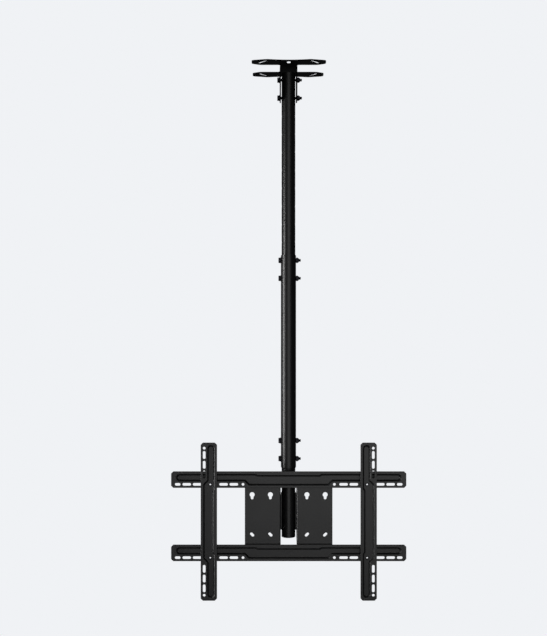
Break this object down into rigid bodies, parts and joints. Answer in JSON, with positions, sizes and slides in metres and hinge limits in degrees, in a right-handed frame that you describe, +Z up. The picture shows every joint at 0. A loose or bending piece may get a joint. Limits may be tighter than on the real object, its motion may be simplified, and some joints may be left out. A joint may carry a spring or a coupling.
{
  "type": "tv ceiling mount",
  "caption": "Black steel ceiling mount for a flat television: folded ceiling plate, telescoping round pole pinned by cross bolts, and a tilting frame of slotted stamped rails.",
  "frame": {"origin": "centre of the ceiling plate's top face, on the pole's axis", "axes": "+Z up towards the ceiling, +X to the right as the viewer sees the screen, -Y towards the viewer"},
  "size_m": [0.642, 0.1678, 1.463],
  "materials": {
    "black_powder_coat": "satin black powder coat on steel",
    "black_hardware": "black zinc plated steel",
    "black_nylon": "moulded nylon"
  },
  "bodies": {
    "ceiling": {"ceiling_plate": "black_powder_coat", "upper_tube": "black_powder_coat", "bracket_bolts": "black_hardware", "bracket_washers": "black_hardware", "bracket_nuts": "black_hardware"},
    "mast": {"sleeve_tube": "black_powder_coat", "lower_tube": "black_powder_coat", "upper_joint_bolts": "black_hardware", "upper_joint_washers": "black_hardware", "upper_joint_nuts": "black_hardware", "lower_joint_bolts": "black_hardware", "lower_joint_washers": "black_hardware", "lower_joint_nuts": "black_hardware", "tilt_saddle": "black_powder_coat", "pivot_bolt": "black_hardware", "pivot_nut": "black_hardware", "lock_bolt": "black_hardware", "lock_nut": "black_hardware", "tilt_washers": "black_hardware", "friction_washers": "black_nylon"},
    "tv_frame": {"centre_plate": "black_powder_coat", "upper_rail": "black_powder_coat", "lower_rail": "black_powder_coat", "left_upright": "black_powder_coat", "right_upright": "black_powder_coat", "crossing_rivets": "black_hardware"}
  },
  "joints": [
    {"name": "height_slide", "type": "slide", "parent": "ceiling", "child": "mast", "axis": [0, 0, 1], "range_m": [0, 0.3]},
    {"name": "tilt", "type": "hinge", "parent": "mast", "child": "tv_frame", "pos_m": [0, 0, -1.193], "axis": [1, 0, 0], "range_deg": [-5, 15]}
  ]
}
